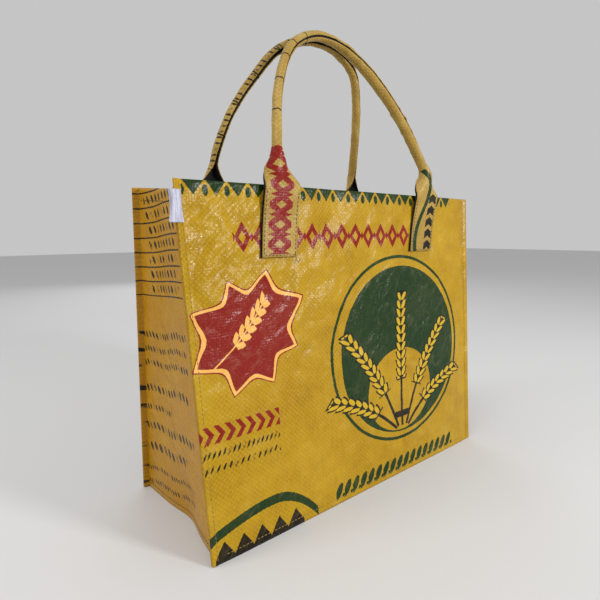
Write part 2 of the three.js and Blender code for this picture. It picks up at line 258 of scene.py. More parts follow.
stitch = {"pitch": 4.2, "length": 3.0, "radius": 0.32, "sides": 6}
# Place along a stitch, and its thickness there
stitchRings = [(-0.5, 0.25), (-0.36, 0.9), (0.0, 1.15), (0.36, 0.9), (0.5, 0.25)]


def stitchMesh(name, runs, material, settings=stitch):
    # runs of thread: each one a polyline of places with its normals, cut into separate stitches
    points, faces = [], []
    sides, length, radius = settings["sides"], settings["length"], settings["radius"]
    for places, normals in runs:
        distance = distances(places)
        count = int((distance[-1] - length) // settings["pitch"]) + 1
        start = (distance[-1] - (count - 1) * settings["pitch"]) / 2
        for n in range(count):
            centre = start + n * settings["pitch"]
            ends = (centre - 0.5 * length, centre, centre + 0.5 * length)
            head, middle, tail = pointsAlong(ends, distance, places)
            normal = unit(pointsAlong(centre, distance, normals))
            along = unit(tail - head)
            across = np.cross(along, normal)
            first = len(points)
            for place, width in stitchRings:
                lift = radius * (0.55 - 1.6 * place**2)
                centreLine = middle + along * place * length + normal * lift
                for k in range(sides):
                    turn = 2 * math.pi * k / sides
                    out = across * math.cos(turn) + normal * math.sin(turn)
                    points.append(centreLine + out * radius * width)
            for r in range(len(stitchRings) - 1):
                for k in range(sides):
                    a, b = first + r * sides + k, first + r * sides + (k + 1) % sides
                    faces.append((a, a + sides, b + sides, b))
            faces.append(tuple(first + k for k in range(sides)))
            last = first + (len(stitchRings) - 1) * sides
            faces.append(tuple(last + k for k in reversed(range(sides))))
    return addPiece(name, [tuple(p * mm) for p in points], faces, [material])


class Field:
    # a number at each place of a surface, worked out by Math nodes
    def __init__(self, tree, socket):
        self.tree = tree
        self.socket = socket

    def calc(self, operation, *others, clamp=False):
        node = self.tree.nodes.new("ShaderNodeMath")
        node.operation = operation
        node.use_clamp = clamp
        self.tree.links.new(self.socket, node.inputs[0])
        for k, other in enumerate(others, start=1):
            if isinstance(other, Field):
                self.tree.links.new(other.socket, node.inputs[k])
            else:
                node.inputs[k].default_value = other
        return Field(self.tree, node.outputs[0])

    def __add__(self, other):
        return self.calc("ADD", other)

    def __sub__(self, other):
        return self.calc("SUBTRACT", other)

    def __mul__(self, other):
        return self.calc("MULTIPLY", other)

    def __truediv__(self, other):
        return self.calc("DIVIDE", other)

    def __neg__(self):
        return self.calc("MULTIPLY", -1)

    def size(self):
        return self.calc("ABSOLUTE")

    def wave(self):
        return self.calc("SINE")

    def atLeast(self, other):
        return self.calc("MAXIMUM", other)

    def atMost(self, other):
        return self.calc("MINIMUM", other)

    def share(self, gain, shift):
        # scaled and shifted, then held between 0 and 1
        return self.calc("MULTIPLY_ADD", gain, shift, clamp=True)


def disc(u, v, cu, cv, ru, rv=None):
    rv = rv or ru
    a, b = (u - cu) / ru, (v - cv) / rv
    return ((a * a + b * b).calc("SQRT") - 1) * min(ru, rv)


def bar(u, v, cu, cv, halfU, halfV):
    return ((u - cu).size() - halfU).atLeast((v - cv).size() - halfV)


def turned(u, v, cu, cv, degrees):
    c, s = math.cos(math.radians(degrees)), math.sin(math.radians(degrees))
    du, dv = u - cu, v - cv
    return du * c + dv * s, dv * c - du * s


def ring(distance, half):
    return distance.size() - half


def repeat(u, start, pitch):
    # place inside a cell, and the number of the cell
    steps = (u - start) / pitch
    number = steps.calc("FLOOR")
    return (steps - number - 0.5) * pitch, number


def between(distance, u, low, high):
    return distance.atLeast((u - (low + high) / 2).size() - (high - low) / 2)


def grains(u, v, cu, cv, halfLong, halfWide, degrees):
    a, b = turned(u, v, cu, cv, degrees)
    return disc(a, b, 0, 0, halfLong, halfWide)


def riceEar(u, v, foot, degrees, length, bend, grain, lean, pitch):
    # distance to a bent stem with grains that lean out on both sides, and to its grains alone
    along, across = turned(u, v, foot[0], foot[1], degrees)
    across = across - along * along * (bend / length**2)
    cell, _ = repeat(along, 0, pitch)
    a, b = turned(cell, across.size(), 0, grain[1] + 1.2, lean)
    ear = between(disc(a, b, 0, 0, grain[0], grain[1]), along, length * 0.35, length)
    stem = between(across.size() - 0.7, along, 0, length)
    return ear.atMost(stem), ear


def cutCoordinates(tree):
    # the place on the cloth as it was cut, in millimetres
    uv = tree.nodes.new("ShaderNodeUVMap")
    uv.uv_map = "cut"
    split = tree.nodes.new("ShaderNodeSeparateXYZ")
    tree.links.new(uv.outputs["UV"], split.inputs["Vector"])
    return Field(tree, split.outputs["X"]) * 1000, Field(tree, split.outputs["Y"]) * 1000


def noiseField(tree, u, v, size, detail=2.0, roughness=0.5, stretch=(1, 1)):
    join = tree.nodes.new("ShaderNodeCombineXYZ")
    tree.links.new((u / (size * stretch[0])).socket, join.inputs["X"])
    tree.links.new((v / (size * stretch[1])).socket, join.inputs["Y"])
    node = tree.nodes.new("ShaderNodeTexNoise")
    node.inputs["Scale"].default_value = 1.0
    node.inputs["Detail"].default_value = detail
    node.inputs["Roughness"].default_value = roughness
    tree.links.new(join.outputs["Vector"], node.inputs["Vector"])
    return Field(tree, node.outputs[0])


def blendColour(tree, share, first, second):
    node = tree.nodes.new("ShaderNodeMix")
    node.data_type = "RGBA"
    tree.links.new(share.socket, node.inputs["Factor"])
    for value, socket in ((first, node.inputs[6]), (second, node.inputs[7])):
        if isinstance(value, tuple):
            socket.default_value = (*value, 1)
        else:
            tree.links.new(value, socket)
    return node.outputs[2]


def newMaterial(name):
    material = bpy.data.materials.new(name)
    material.use_nodes = True
    tree = material.node_tree
    return material, tree, tree.nodes["Principled BSDF"]


def addBump(tree, shader, height, distance, strength):
    bump = tree.nodes.new("ShaderNodeBump")
    bump.inputs["Strength"].default_value = strength
    bump.inputs["Distance"].default_value = distance * mm
    tree.links.new(height.socket, bump.inputs["Height"])
    tree.links.new(bump.outputs["Normal"], shader.inputs["Normal"])


colours = {
    "gold": (0.415, 0.238, 0.003),
    "goldPale": (0.54, 0.345, 0.012),
    "goldDeep": (0.25, 0.122, 0.001),
    "gussetGold": (0.45, 0.215, 0.003),
    "gussetPale": (0.55, 0.32, 0.03),
    "gussetDeep": (0.32, 0.155, 0.008),
    "handleGold": (0.37, 0.235, 0.048),
    "handlePale": (0.54, 0.38, 0.1),
    "handleDeep": (0.24, 0.13, 0.012),
    "inside": (0.5, 0.35, 0.08),
    "insidePale": (0.6, 0.44, 0.13),
    "insideDeep": (0.38, 0.25, 0.045),
    "green": (0.0, 0.026, 0.003),
    "red": (0.21, 0.0005, 0.0008),
    "black": (0.003, 0.002, 0.0015),
    "cream": (0.8, 0.43, 0.1),
    "webbing": (0.002, 0.0018, 0.002),
    "webbingPale": (0.016, 0.015, 0.017),
    # the label's dark tone is painted fold shade, its light tone painted fold light
    "label": (0.26, 0.26, 0.34),
    "labelPale": (0.58, 0.58, 0.7),
    "darkThread": (0.05, 0.035, 0.02),
    "goldThread": (0.42, 0.27, 0.05),
}

# Woven tapes: sizes and heights in millimetres, strengths of the tones
weave = {
    "pitch": 2.6,
    "height": 0.08,
    "crossingHeight": 0.03,
    # painted sheen: how strongly the crossing tapes are lightened and darkened by turns
    "checkerSheen": 0.34,
    "mottle": 0.7,
    "patchTone": 1.3,
    "stainTone": 1.6,
    "streakTone": 0.6,
    "fineTone": 0.9,
    "fineSize": 1.6,
    "streakSize": 2.4,
    "patchSize": 24.0,
    "stainSize": 95.0,
    "crinkleSize": 8.0,
    "crinkle": 1.0,
    "slant": 41,  # degrees that the creases lean
    "creaseSize": 26.0,
    "hillSize": 25.0,
    "hills": 12.0,
}
film = {
    # painted sheen: a light veil laid in patches over the cloth and its inks
    "sheenColour": (0.62, 0.5, 0.24),
    "sheenShare": 0.03,
    # crease lines made lighter: partly stress whitening of the film, partly painted highlight
    "creaseShare": 0.1,
    "roughness": 0.31,
    "specular": 0.2,
}


def sackCloth(name, tones, prints=None, roughness=film["roughness"], worn=None):
    # woven tapes under a clear film, printed in flat inks
    ground, bright, deep = (colours[tone] for tone in tones)
    material, tree, shader = newMaterial(name)
    u, v = cutCoordinates(tree)
    warp = (u * (math.pi / weave["pitch"])).wave()
    weft = (v * (math.pi / weave["pitch"])).wave()
    crossing = warp * weft
    tapes = warp.size().calc("POWER", 0.5) * weft.size().calc("POWER", 0.5)
    crinkle = noiseField(tree, u, v, weave["crinkleSize"])
    patches = noiseField(tree, u, v, weave["patchSize"], 3.0, 0.6)
    streaks = noiseField(tree, u, v, weave["streakSize"], 2.0, 0.6, (1, 7))
    stains = noiseField(tree, u, v, weave["stainSize"])
    slantU, slantV = turned(u, v, 0, 0, weave["slant"])
    lines = noiseField(tree, slantU, slantV, weave["creaseSize"], 3.0, 0.55, (1.9, 0.75))
    creases = ((lines - 0.5).size() * -1).share(26.0, 1.0)
    fine = noiseField(tree, u, v, weave["fineSize"], 2.0, 0.6)
    # tones of the tapes: random mottle, and a painted sheen that lightens and darkens the crossing tapes by
    # turns
    shade = (patches - 0.5) * weave["patchTone"] + (stains - 0.5) * weave["stainTone"]
    shade = shade + (streaks - 0.5) * weave["streakTone"] + (fine - 0.5) * weave["fineTone"]
    shade = shade + crossing * weave["checkerSheen"]
    colour = blendColour(tree, shade.share(weave["mottle"], 0.0), ground, bright)
    colour = blendColour(tree, (-shade).share(weave["mottle"] * 1.3, 0.0), colour, deep)
    # painted shade: darker in the grooves between the tapes
    colour = blendColour(tree, tapes.share(-1.6, 0.55) * 0.6, colour, deep)
    if prints:
        # inks with uneven edges, thin where they are rubbed
        edge = (fine - 0.5) * 0.9 + crossing * 0.16
        thin = (streaks * 0.5 + fine * 0.5 - tapes * 0.1).share(5.0, -2.75) * 0.22
        for distance, ink in prints(u, v):
            cover = (distance + edge).share(-2.0, 0.5) * (-thin + 0.985)
            colour = blendColour(tree, cover, colour, colours[ink])
    # painted sheen: a light veil in patches, over the inks too
    paintedSheen = ((stains - patches) * 1.2 + streaks).share(2.4, -1.0) * film["sheenShare"]
    # lighter crease lines: partly stress whitening of the film, partly painted highlight
    pale = creases * patches.share(3.0, -1.2) * film["creaseShare"]
    colour = blendColour(tree, paintedSheen.atLeast(pale), colour, film["sheenColour"])
    tree.links.new(colour, shader.inputs["Base Color"])
    rough = (patches - 0.5) * 0.35 + (fine - 0.5) * 0.2 - crossing * 0.04 + roughness
    tree.links.new(rough.socket, shader.inputs["Roughness"])
    shader.inputs["Specular IOR Level"].default_value = film["specular"]
    # relief: the weave, small crinkles, and hills that are high where the cloth is crumpled
    height = tapes * weave["height"] + crossing * weave["crossingHeight"]
    height = height + (crinkle - 0.5) * weave["crinkle"]
    hills = noiseField(tree, slantU, slantV, weave["hillSize"], 1.6, 0.45, (1.25, 0.8))
    crumpled = stains.share(3.4, -1.45) * 0.6 + 0.13
    if worn:
        # centre, half width and half height of the most crumpled part
        near = disc(u, v, *worn).share(-1 / worn[2], 0.0)
        crumpled = crumpled + near * 0.9
    height = height + (hills - 0.5) * crumpled * weave["hills"] + creases * crumpled * 0.35
    addBump(tree, shader, height, 1.0, 0.9)
    return material


# Prints of the front panel. Places are measured across from its middle and up from the base.
border = {"ends": (-214, 180), "pitch": 22, "triangleTips": 337, "dropHeight": 341.5, "drop": (3.0, 5.0)}
lozengeRow = {"ends": (-168, 88.5), "pitch": 21.4, "height": 300}
badge = {"centre": (-155, 210), "tilt": 24, "radius": 70, "points": 18, "unevenness": 3}
badgeEar = {
    "foot": (-196, 182),
    "degrees": 34,
    "length": 84,
    "bend": 15,
    "grain": (7, 2.9),
    "lean": 30,
    "pitch": 9.5,
}
roundField = {"ring": (65.5, 160, 118.5, 114), "disc": (69, 158, 108, 104.5), "sun": (62, 108, 60, 52)}
# Foot, degrees, length and bend of each ear of the sheaf
sheaf = [
    ((62, 62), 90, 168, -8),
    ((54, 62), 112, 150, 34),
    ((70, 62), 68, 150, -34),
    ((50, 60), 136, 118, 36),
    ((74, 60), 44, 118, -36),
]
sheafGrain = {"grain": (8.4, 3.3), "lean": 28, "pitch": 10.5}
sheafTie = (62, 76, 15, 4)
chevronRow = {
    "ends": (-221, -128),
    "start": -220,
    "pitch": 11.2,
    "height": 122,
    "halfHeight": 8.5,
    "halfWidth": 2.7,
}
# Height, pitch and start of each row of grains, and where they end
grainRows = [(103.8, 5.2, -220), (89.8, 6.4, -221)]
grainRowEnd = -129
stripe = {"ends": (-217, -84), "top": (-140, 38.5), "halfWidth": 4.9}
peakRow = {"ends": (-209, -104), "pitch": 21, "height": 20}
leafRow = {"ends": (-57, 168), "pitch": 13.2, "height": 14}


def openLozenge(cell, up, steepness, size, half):
    return ring((cell.size() * steepness + up.size()) * 0.55 - size, half)


def frontPrints(u, v):
    # border along the rim, cut by the hem: hanging triangles with drops between them
    start, pitch = border["ends"][0], border["pitch"]
    cell, _ = repeat(u, start, pitch)
    triangles = (cell.size() * 1.3 - (v - border["triangleTips"])) * 0.6
    cell, _ = repeat(u, start + pitch / 2, pitch)
    drops = disc(cell, v, 0, border["dropHeight"], *border["drop"])
    yield between(triangles.atMost(drops), u, *border["ends"]), "green"
    # row of open lozenges joined by solid ones
    start, pitch = lozengeRow["ends"][0], lozengeRow["pitch"]
    cell, _ = repeat(u, start, pitch)
    up = v - lozengeRow["height"]
    joint = (cell.size() * -1 + pitch / 2) * 1.3 + up.size() * 0.7 - 3.4
    row = openLozenge(cell, up, 1.5, 5.6, 2.3).atMost(joint)
    yield between(row, u, *lozengeRow["ends"]), "red"
    # badge with eight points, a cream line inside its edge and an ear of rice
    a, b = turned(u, v, *badge["centre"], badge["tilt"])
    away = (a * a + b * b * 1.55).calc("SQRT")
    turn = b.calc("ARCTAN2", a)
    points = (turn * 4).wave().size() * badge["points"]
    outline = away - badge["radius"] + points - (turn * 3 + 0.7).wave() * badge["unevenness"]
    yield outline - 1.4, "red"
    yield outline + 0.4, "cream"
    yield outline + 5.2, "red"
    yield riceEar(u, v, **badgeEar)[0], "cream"
    # disc in a ring, with a pale sun and a sheaf of rice in it
    yield ring(disc(u, v, *roundField["ring"]), 1.9), "green"
    field = disc(u, v, *roundField["disc"])
    sun = disc(u, v, *roundField["sun"])
    yield field.atLeast(-sun), "green"
    for foot, degrees, length, bend in sheaf:
        whole, ear = riceEar(u, v, foot, degrees, length, bend, **sheafGrain)
        yield whole - 1.3, "black"
        yield ear + 0.7, "goldPale"
    yield bar(u, v, *sheafTie), "black"
    # rows at the left: chevrons, then two rows of grains
    up = (v - chevronRow["height"]).size()
    cell, _ = repeat(u + up * 0.75, chevronRow["start"], chevronRow["pitch"])
    chevrons = (cell.size() - chevronRow["halfWidth"]).atLeast(up - chevronRow["halfHeight"])
    yield between(chevrons, u, *chevronRow["ends"]), "red"
    for height, pitch, start in grainRows:
        cell, number = repeat(u, start, pitch)
        seed = grains(cell, v + (number * 2.3).wave() * 0.4, 0, height, 3.5, 1.15, 62)
        seed = seed.atLeast((number * 1.9).wave() * -1 - 0.88)
        yield between(seed, u, start, grainRowEnd), "black"
    # bent stripe over a row of peaks at the lower left
    along = u - stripe["top"][0]
    falling = along.atLeast(0)
    middle = v - stripe["top"][1] + along * along * 0.0028 + falling * falling * 0.008
    yield between(middle.size() - stripe["halfWidth"], u, *stripe["ends"]), "green"
    cell, _ = repeat(u, peakRow["ends"][0], peakRow["pitch"])
    peaks = (cell.size() * 1.5 + v - peakRow["height"]) * 0.55
    yield between(peaks, u, *peakRow["ends"]), "black"
    # row of leaves at the lower right
    cell, _ = repeat(u, leafRow["ends"][0], leafRow["pitch"])
    leaves = grains(cell, v, -1.8, leafRow["height"], 10.2, 4.3, 58).atMost(disc(cell, v, 5.0, 8.0, 2.3))
    yield between(leaves, u, *leafRow["ends"]), "green"


# Prints of the left gusset. u runs from the front (low) to the back, v up.
rules = {
    "ends": (-46, 110),
    "start": 242,
    "pitch": 14.9,
    "middle": 294.4,
    "halfHeight": 53.0,
    "halfWidth": 0.75,
}
ruleMarks = {"ends": (-36, 30), "pitch": 8.2, "halfHeight": 51, "grain": (4.3, 1.9, 66)}
# Height, pitch, start, end and half length of the grains in each slanting row
slantingRows = [
    (201, 6.8, -44, 90, 4.0),
    (185, 6.0, -44, 94, 3.6),
    (169, 6.4, -45, 97, 3.8),
    (140, 8.2, -42, 96, 4.8),
    (117, 6.2, 10, 96, 3.8),
    (94, 8.4, -46, 96, 5.0),
    (68, 10.2, -24, 98, 5.6),
    (40, 5.6, -36, 98, 3.2),
    (22, 5.6, -30, 98, 3.2),
]


def gussetPrints(u, v):
    tilt = v + u * 0.045 + (u * 0.06).wave() * 0.8
    fromMiddle = (tilt - rules["middle"]).size()
    cell, number = repeat(tilt, rules["start"], rules["pitch"])
    lines = (cell.size() * -1 + rules["pitch"] / 2) - rules["halfWidth"]
    lines = lines.atLeast(fromMiddle - rules["halfHeight"])
    yield between(lines, u, *rules["ends"]), "black"
    marks, place = repeat(u + (number * 2.7).wave() * 3, 0, ruleMarks["pitch"])
    mark = grains(marks, cell, 0, 0, *ruleMarks["grain"])
    gap = (place * 2.1 + number * 1.3).wave() * -1 - 0.8
    mark = mark.atLeast(gap).atLeast(fromMiddle - ruleMarks["halfHeight"])
    yield between(mark, u, *ruleMarks["ends"]), "black"
    wavy = v + u * 0.13 + (u * 0.09).wave() * 1.6
    for height, pitch, start, end, halfHeight in slantingRows:
        cell, number = repeat(u, 0, pitch)
        lift = (number * 2.1).wave() * 0.6
        seed = grains(cell, wavy + lift, 0, height, halfHeight, pitch * 0.25, 64)
        seed = seed.atLeast((number * 1.7 + height).wave() * -1 - 0.84)
        yield between(seed, u, start, end), "black"


# Prints of the back panel, and the height, half width and ink of each line along the sack's own edge
backLines = [(338, 1.4, "green"), (333, 0.5, "red")]
wreath = {"height": 170, "radius": 92, "leaves": 40, "leaf": (8.6, 3.6, 52), "ringRadius": 78}
# Foot, degrees and bend of the ears in the wreath
wreathEars = [((0, 112), 90, 0), ((-8, 112), 114, 20), ((8, 112), 66, -20)]
wreathGrain = {"length": 112, "grain": (7.4, 3.0), "lean": 28, "pitch": 9.5}
backRow = {"ends": (-176, 176), "pitch": 22, "height": 34}


def backPrints(u, v):
    # lines, a ring of leaves round three ears of rice, and a row of lozenges
    for height, halfWidth, ink in backLines:
        yield bar(u, v, 0, height, 400, halfWidth), ink
    up, radius = v - wreath["height"], wreath["radius"]
    away = (u * u + up * up).calc("SQRT")
    cell, _ = repeat(up.calc("ARCTAN2", u) * radius, 0, 2 * math.pi * radius / wreath["leaves"])
    yield grains(cell, away, 0, radius, *wreath["leaf"]), "green"
    yield ring(away - wreath["ringRadius"], 1.3), "green"
    for foot, degrees, bend in wreathEars:
        yield riceEar(u, v, foot, degrees, bend=bend, **wreathGrain)[0], "green"
    cell, _ = repeat(u, backRow["ends"][0], backRow["pitch"])
    row = openLozenge(cell, v - backRow["height"], 1.4, 5, 2.2)
    yield between(row, u, *backRow["ends"]), "red"


# Prints of the handles. u runs up the left leg and down the right one, v across the band.
leftTab = {"ends": (3, 107), "pitch": 19.5, "middle": 1, "halfWidth": 14}
legLines = (148, 187, 222, 247, 272)
# Places from the right end
rightTab = {"waveEnds": (0, 105), "arrowEnds": (2, 74), "arrowPitch": 15, "arrowMiddle": 11}
backLeg = {"ends": (96, 300), "linePitch": 39, "markEnds": (100, 290), "markPitch": 6.5}


def frontHandlePrints(length):
    def prints(u, v):
        off, pitch = (v - leftTab["middle"]).size(), leftTab["pitch"]
        cell, _ = repeat(u, leftTab["ends"][0], pitch)
        lozenge = ring((cell.size() + off * 0.62) * 0.8 - 6.2, 2.9)
        joint = (cell.size() * -1 + pitch / 2) + off * 0.3 - 4.2
        chain = between(lozenge.atMost(joint), u, *leftTab["ends"])
        yield chain.atLeast(off - leftTab["halfWidth"]), "red"
        for place in legLines:
            yield (u - place).size() - 0.8, "black"
        end = -u + length
        wave = v - (end * 0.045 - 2.2).wave() * 8.5 + 6
        yield between(wave.size() - 3.4, end, *rightTab["waveEnds"]), "green"
        off = (v - rightTab["arrowMiddle"]).size()
        cell, _ = repeat(end + off * 0.6, rightTab["arrowEnds"][0], rightTab["arrowPitch"])
        arrows = (cell.size() - 4.8).atLeast(off - 7)
        yield between(arrows, end, *rightTab["arrowEnds"]), "black"

    return prints


def backHandlePrints(length):
    def prints(u, v):
        start, pitch = backLeg["ends"][0], backLeg["linePitch"]
        cell, _ = repeat(u, start, pitch)
        yield between(cell.size() * -1 + pitch / 2 - 0.9, u, *backLeg["ends"]), "black"
        marks, place = repeat(u, start, backLeg["markPitch"])
        mark = grains(marks, v.size(), 0, 8.5, 3.2, 1.1, 70)
        mark = mark.atLeast((place * 1.7).wave() * -1 - 0.7)
        yield between(mark, u, *backLeg["markEnds"]), "black"

    return prints


def webbingMaterial():
    material, tree, shader = newMaterial("blackWebbing")
    u, v = cutCoordinates(tree)
    rib = ((v * (2 * math.pi / 1.7)) + (u * (math.pi / 1.1)).wave() * 0.8).wave()
    fluff = noiseField(tree, u, v, 0.9)
    shade = (rib * 0.25 + fluff).share(0.8, -0.2)
    colour = blendColour(tree, shade, colours["webbing"], colours["webbingPale"])
    tree.links.new(colour, shader.inputs["Base Color"])
    shader.inputs["Roughness"].default_value = 0.75
    shader.inputs["Specular IOR Level"].default_value = 0.2
    shader.inputs["Sheen Weight"].default_value = 0.1
    addBump(tree, shader, rib * 0.25 + fluff * 0.3, 1.0, 0.9)
    return material


def labelMaterial():
    material, tree, shader = newMaterial("satinTape")
    u, v = cutCoordinates(tree)
    threads = noiseField(tree, u, v, 0.5, stretch=(1, 14))
    folds = noiseField(tree, u, v, 3.2, stretch=(1, 9))
    # painted shade and light of the folds: the fold noise, with a little thread grain, blends the satin
    # between the dark and the light tone
    shade = (threads * 0.5 + folds).share(2.2, -1.1)
    colour = blendColour(tree, shade, colours["label"], colours["labelPale"])
    tree.links.new(colour, shader.inputs["Base Color"])
    shader.inputs["Roughness"].default_value = 0.36
    shader.inputs["Sheen Weight"].default_value = 0.3
    addBump(tree, shader, threads * 0.2 + folds, 1.2, 0.8)
    return material


def threadMaterial(name):
    material, tree, shader = newMaterial(name)
    coordinates = tree.nodes.new("ShaderNodeTexCoord")
    twist = tree.nodes.new("ShaderNodeTexNoise")
    twist.inputs["Scale"].default_value = 2600
    tree.links.new(coordinates.outputs["Object"], twist.inputs["Vector"])
    share = Field(tree, twist.outputs[0])
    darker = tuple(c * 0.5 for c in colours[name])
    tree.links.new(blendColour(tree, share, darker, colours[name]), shader.inputs["Base Color"])
    shader.inputs["Roughness"].default_value = 0.6
    addBump(tree, shader, share, 0.1, 0.5)
    return material


print("materials")
panelTones = ("gold", "goldPale", "goldDeep")
gussetTones = ("gussetGold", "gussetPale", "gussetDeep")
insideTones = ("inside", "insidePale", "insideDeep")
handleTones = ("handleGold", "handlePale", "handleDeep")
frontCloth = sackCloth("frontCloth", panelTones, frontPrints, worn=(-180, 290, 130, 100))
backCloth = sackCloth("backCloth", panelTones, backPrints, worn=(160, 90, 130, 90))
leftGussetCloth = sackCloth("leftGussetCloth", gussetTones, gussetPrints)
rightGussetCloth = sackCloth("rightGussetCloth", gussetTones)
baseCloth = sackCloth("baseCloth", panelTones)
insideCloth = sackCloth("insideCloth", insideTones, roughness=0.5)
webbingCloth = webbingMaterial()
satin = labelMaterial()
darkThread = threadMaterial("darkThread")
goldThread = threadMaterial("goldThread")


panel = {
    "columns": 186,
    "rows": 150,
    "waveHeight": 0.5,
    "waveSize": 74.0,
    "crumpleHeight": 2.4,
    "crumpleSize": 28.0,
    "worstPlace": (175, 280),  # the most crumpled place, towards the left and up
    "worstReach": (110, 90),
    "tabCalm": 0.85,  # how much smoother the cloth is where a tab is sewn on
    "tabReach": 26,
    "tabStart": (255, 285),
    "hemDepth": 22.0,
    "hemThickness": 0.8,
    "hemGap": 0.3,
    "seamEnds": 8,  # columns that the seam along the base leaves free
}

# Folds and creases of the panels: from, to, half width, height over the cloth. The solids have the folds.
frontFolds = [
    ((-204, 222), (-156, 266), 14, 1.7),
    ((-205, 262), (-164, 300), 12, 1.2),
    ((-60, 40), (40, 66), 18, -1.4),
    ((150, 40), (190, 130), 18, 1.3),
    ((-40, 235), (50, 262), 16, -1.1),
]
frontCreases = frontFolds + [
    ((-213, 252), (-174, 281), 4.5, 1.0),
    ((-208, 276), (-172, 295), 4.5, 0.8),
    ((-196, 300), (-184, 315), 5, 0.6),
    ((-160, 316), (-128, 330), 6, 0.6),
    ((-112, 96), (-84, 152), 5, 0.7),
    ((-92, 186), (-58, 236), 6, 0.6),
    ((-30, 300), (-8, 336), 6, 0.5),
    ((52, 296), (66, 338), 6, 0.5),
    ((-70, 268), (-30, 276), 7, 0.5),
    ((-212, 118), (-176, 136), 5, 0.5),
]
backFolds = [
    ((-180, 60), (-110, 130), 18, 1.4),
    ((20, 190), (120, 150), 18, -1.3),
    ((140, 210), (195, 290), 15, 1.4),
]
backCreases = backFolds + [
    ((-150, 250), (-90, 290), 6, 0.8),
    ((60, 70), (110, 120), 6, 0.7),
]


def panelGrid(side, creases, seed):
    z = np.linspace(0, bag["height"], panel["rows"] + 1)[:, None]
    seam = seamAt(z)
    share = np.linspace(-1, 1, panel["columns"] + 1)[None, :]
    x = seam["x"] * share
    (worstX, worstZ), (reachX, reachZ) = panel["worstPlace"], panel["worstReach"]
    rough = 0.85 + 0.75 * np.exp(-(((x - side * worstX) / reachX) ** 2) - ((z - worstZ) / reachZ) ** 2)
    for tabX in tabFeet[side]:
        nearTab = np.exp(-(((x - tabX) / panel["tabReach"]) ** 4))
        rough = rough * (1 - panel["tabCalm"] * nearTab * ease(z, *panel["tabStart"]))
    rough = rough * ease(z, *bag["crumpleStart"])
    relief = creaseRelief(creases, x, z) + rough * crumple(x, z, panel, seed)
    y = panelY(side, x, z, relief)
    tipY = seam["frontTipY"] if side < 0 else seam["backTipY"]
    out = np.linspace(1, 0, bag["allowanceColumns"] + 1)[None, :-1]
    leftX, leftY = mix(x[:, :1], -seam["tipX"], out), mix(y[:, :1], tipY, out)
    rightX, rightY = -leftX[:, ::-1], mix(y[:, -1:], tipY, out)[:, ::-1]
    x = np.concatenate([leftX, x, rightX], axis=1)
    y = np.concatenate([leftY, y, rightY], axis=1)
    # lower corners of the allowances are cut round
    beyond = np.clip((np.abs(x) - seam["x"]) / bag["allowance"], 0, 1)
    height = np.maximum(z + 0 * x, bag["cornerLift"] * beyond**2)
    return np.stack([x, y, height], axis=2), sideVectors(x, y, side)


near, far = bag["seamGap"], bag["seamGap"] + bag["clothThickness"]

for name, node, side, creases, seed, cloth in (
    ("panelFront", "panel_front", -1, frontCreases, 11, frontCloth),
    ("panelBack", "panel_back", 1, backCreases, 41, backCloth),
):
    grid, sides = panelGrid(side, creases, seed)
    piece = clothMesh(name, grid, sides, near, far, grid[..., [0, 2]], [cloth, insideCloth])
    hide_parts(node)
    # hem folded down inside the rim
    ends = bag["allowanceColumns"] + 2
    hemRows = int(panel["hemDepth"] / bag["height"] * panel["rows"])
    strip, stripSides = grid[-hemRows:, ends:-ends], sides[-hemRows:, ends:-ends]
    hemFace = near - panel["hemGap"]
    hem = clothMesh(name + "Hem", strip, stripSides, hemFace - panel["hemThickness"], hemFace,
                    strip[..., [0, 2]], [insideCloth, cloth])
    # threads along both upright seams and the base
    last = grid.shape[1] - 1
    seamColumn = bag["allowanceColumns"] * 0.75
    rows = np.arange(1, panel["rows"])
    bottomRow = bag["baseSeamHeight"] / bag["height"] * panel["rows"]
    runs = [
        runAlong(grid, sides, far, rows, seamColumn),
        runAlong(grid, sides, far, rows, last - seamColumn),
        runAlong(grid, sides, far, bottomRow, np.arange(panel["seamEnds"], last - panel["seamEnds"] + 1)),
    ]
    seams = stitchMesh(name + "Stitches", runs, goldThread)
print("panels")

gusset = {
    "columns": 76,
    "rows": 150,
    "draw": 4.5,
    "footDraw": 6.0,
    "footPlace": 0.45,
    "footHalfWidth": 0.18,
    "footReach": 100.0,
    "rimDrop": 8.0,
    "rimDropStart": 230.0,
    "rimSeam": 12,  # depth of the hem's thread under the rim
    "foldFootHeight": 60.0,
    "foldHeadStart": 290.0,
    "foldHeadLoss": 0.6,
    "waveHeight": 0.4,
    "waveSize": 60.0,
    "crumpleHeight": 1.5,
    "crumpleSize": 25.0,
}
# Upright folds: place from front 0 to back 1, half width there, depth
leftFolds = [(0.74, 0.1, 2.2), (0.4, 0.16, -1.2)]
rightFolds = [(0.66, 0.12, 1.8), (0.3, 0.14, -1.2)]


def gussetInset(folds, place, z, relief):
    middle = np.sin(np.pi * place)
    foot = 1 - ease(z, 0, gusset["footReach"])
    near = np.exp(-(((place - gusset["footPlace"]) / gusset["footHalfWidth"]) ** 2))
    inset = gusset["draw"] * middle + gusset["footDraw"] * foot * near * middle
    head = ease(z, gusset["foldHeadStart"], bag["height"])
    height = ease(z, 0, gusset["foldFootHeight"]) * (1 - gusset["foldHeadLoss"] * head)
    for foldPlace, halfWidth, depth in folds:
        inset = inset + depth * height * middle * np.exp(-(((place - foldPlace) / halfWidth) ** 2))
    return inset - relief * middle


